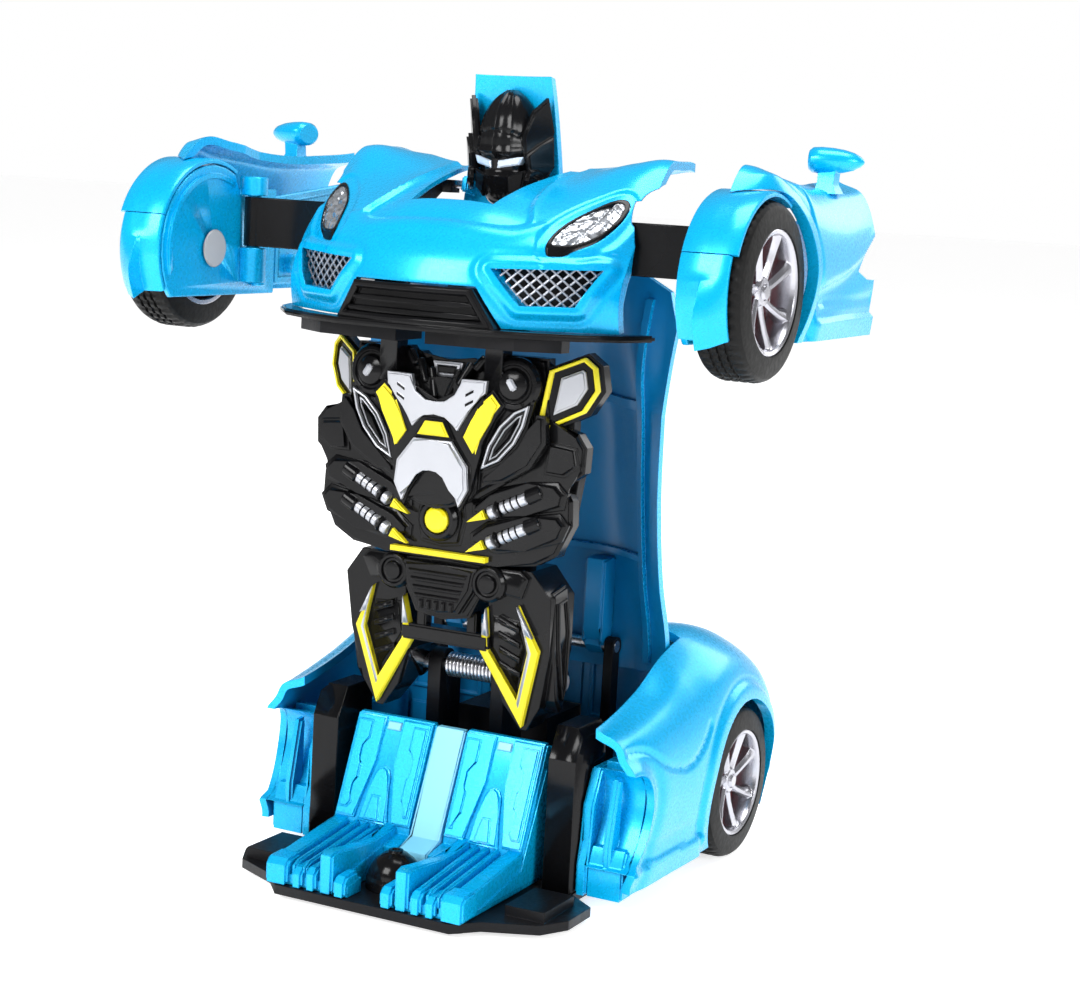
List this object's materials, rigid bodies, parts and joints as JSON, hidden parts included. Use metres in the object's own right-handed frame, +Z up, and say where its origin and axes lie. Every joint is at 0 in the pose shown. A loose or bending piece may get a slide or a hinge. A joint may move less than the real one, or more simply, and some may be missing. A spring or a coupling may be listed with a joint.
{
  "type": "transforming robot car",
  "caption": "Toy sports car with blue shells that stands up into a black robot: lifting torso, level chest, swinging door arms, flip-up head, friction drive.",
  "frame": {"origin": "middle of the footprint, at floor level, with the toy standing as a robot", "axes": "-Y forward, the way the robot and the car face; +X the robot's left; +Z up"},
  "size_m": [0.1286, 0.106, 0.1531],
  "materials": {
    "blue_shell": "glossy painted plastic",
    "light_blue": "glossy plastic",
    "gloss_black": "glossy black plastic",
    "satin_black": "satin moulded plastic",
    "dark_window": "mirror gloss",
    "clear_lens": "clear lens over a silver reflector",
    "silver_rim": "bright silver plating",
    "tyre_rubber": "soft matte",
    "pin_steel": "bright",
    "gear_white": "natural nylon",
    "flywheel_metal": "turned",
    "grey_cap": "satin",
    "engine_silver": "silver painted relief with black vents"
  },
  "bodies": {
    "base": {"base_plate": "satin_black", "rear_shell": "blue_shell", "engine_cover": "engine_silver", "tail_panel": "satin_black", "boot_left": "blue_shell", "boot_right": "blue_shell", "boot_strip": "light_blue", "foot_dome": "gloss_black", "pillar_left": "gloss_black", "pillar_right": "gloss_black", "hinge_bracket": "satin_black", "leg_pin": "pin_steel", "leg_spring": "pin_steel", "roof_pin": "pin_steel", "drive_housing": "satin_black", "base_screws": "pin_steel"},
    "rear_wheels": {"rear_axle": "pin_steel", "axle_gear": "gear_white", "rim_rear_left": "silver_rim", "rim_rear_right": "silver_rim", "tyre_rear_left": "tyre_rubber", "tyre_rear_right": "tyre_rubber"},
    "idler": {"idler_gear": "gear_white"},
    "flywheel": {"flywheel": "flywheel_metal"},
    "torso": {"torso_front": "gloss_black", "torso_back": "satin_black", "pelvis": "gloss_black", "leg_left": "gloss_black", "leg_right": "gloss_black", "neck_arms": "gloss_black", "torso_screws": "pin_steel"},
    "chest": {"hood_shell": "blue_shell", "chest_frame": "satin_black", "headlight_left": "clear_lens", "headlight_right": "clear_lens", "grille_insert": "satin_black", "chest_pins": "pin_steel"},
    "bumper": {"bumper_lip": "gloss_black"},
    "latch": {"latch_lever": "pin_steel"},
    "head": {"head_flap": "blue_shell", "head_casting": "gloss_black", "face_mask": "silver_rim"},
    "back": {"roof_shell": "blue_shell", "window_insert": "dark_window", "roof_hinge": "satin_black"},
    "link_left": {"link_left": "gloss_black"},
    "link_right": {"link_right": "gloss_black"},
    "arm_left": {"arm_panel_left": "blue_shell", "wheel_wall_left": "blue_shell", "mirror_left": "blue_shell", "axle_front_left": "grey_cap"},
    "arm_right": {"arm_panel_right": "blue_shell", "wheel_wall_right": "blue_shell", "mirror_right": "blue_shell", "axle_front_right": "grey_cap"},
    "front_wheel_left": {"rim_front_left": "silver_rim", "tyre_front_left": "tyre_rubber"},
    "front_wheel_right": {"rim_front_right": "silver_rim", "tyre_front_right": "tyre_rubber"}
  },
  "joints": [
    {"name": "transform", "type": "hinge", "parent": "base", "child": "torso", "pos_m": [0, -0.0145, 0.04], "axis": [1, 0, 0], "range_deg": [0, 90], "stiffness_Nm_per_rad": 0.04, "springref_deg": -91.67},
    {"name": "chest_level", "type": "hinge", "parent": "torso", "child": "chest", "pos_m": [0, -0.0315, 0.125], "axis": [1, 0, 0], "range_deg": [-90, 0]},
    {"name": "back_fold", "type": "hinge", "parent": "base", "child": "back", "pos_m": [0, 0.007, 0.0435], "axis": [1, 0, 0], "range_deg": [0, 90]},
    {"name": "link_left_swing", "type": "hinge", "parent": "chest", "child": "link_left", "pos_m": [0.028, -0.0215, 0.12275], "axis": [0, 0, 1], "range_deg": [0, 90]},
    {"name": "link_right_swing", "type": "hinge", "parent": "chest", "child": "link_right", "pos_m": [-0.028, -0.0215, 0.12275], "axis": [0, 0, 1], "range_deg": [-90, 0]},
    {"name": "arm_left_turn", "type": "hinge", "parent": "link_left", "child": "arm_left", "pos_m": [0.05, -0.0215, 0.12275], "axis": [0, 0, 1], "range_deg": [-90, 0]},
    {"name": "arm_right_turn", "type": "hinge", "parent": "link_right", "child": "arm_right", "pos_m": [-0.05, -0.0215, 0.12275], "axis": [0, 0, 1], "range_deg": [0, 90]},
    {"name": "head_flip", "type": "hinge", "parent": "chest", "child": "head", "pos_m": [0, -0.011, 0.1322], "axis": [1, 0, 0], "range_deg": [0, 100.01]},
    {"name": "front_wheel_left_spin", "type": "hinge", "parent": "arm_left", "child": "front_wheel_left", "pos_m": [0.05865, -0.0319, 0.1175], "axis": [1, 0, 0], "continuous": true},
    {"name": "front_wheel_right_spin", "type": "hinge", "parent": "arm_right", "child": "front_wheel_right", "pos_m": [-0.05865, -0.0319, 0.1175], "axis": [1, 0, 0], "continuous": true},
    {"name": "rear_axle_spin", "type": "hinge", "parent": "base", "child": "rear_wheels", "pos_m": [0, 0.0249, 0.0155], "axis": [1, 0, 0], "continuous": true},
    {"name": "idler_spin", "type": "hinge", "parent": "base", "child": "idler", "pos_m": [0, 0.0167, 0.0155], "axis": [1, 0, 0], "continuous": true},
    {"name": "flywheel_spin", "type": "hinge", "parent": "base", "child": "flywheel", "pos_m": [0, 0.0085, 0.0155], "axis": [1, 0, 0], "continuous": true},
    {"name": "bumper_push", "type": "slide", "parent": "chest", "child": "bumper", "axis": [0, 1, 0], "range_m": [0, 0.002], "stiffness_N_per_m": 200, "springref_m": -0.001},
    {"name": "latch_turn", "type": "hinge", "parent": "chest", "child": "latch", "pos_m": [0, -0.0265, 0.1162], "axis": [1, 0, 0], "range_deg": [0, 18.5]}
  ],
  "couplings": [
    {"joint": "chest_level", "follows": "transform", "ratio": -1},
    {"joint": "back_fold", "follows": "transform", "ratio": 1},
    {"joint": "link_left_swing", "follows": "transform", "ratio": 1},
    {"joint": "link_right_swing", "follows": "transform", "ratio": -1},
    {"joint": "arm_left_turn", "follows": "transform", "ratio": -1},
    {"joint": "arm_right_turn", "follows": "transform", "ratio": 1},
    {"joint": "head_flip", "follows": "transform", "ratio": 1.1111},
    {"joint": "idler_spin", "follows": "flywheel_spin", "ratio": -0.33333},
    {"joint": "rear_axle_spin", "follows": "flywheel_spin", "ratio": 0.11111},
    {"joint": "latch_turn", "follows": "bumper_push", "rad_per_m": 160}
  ]
}
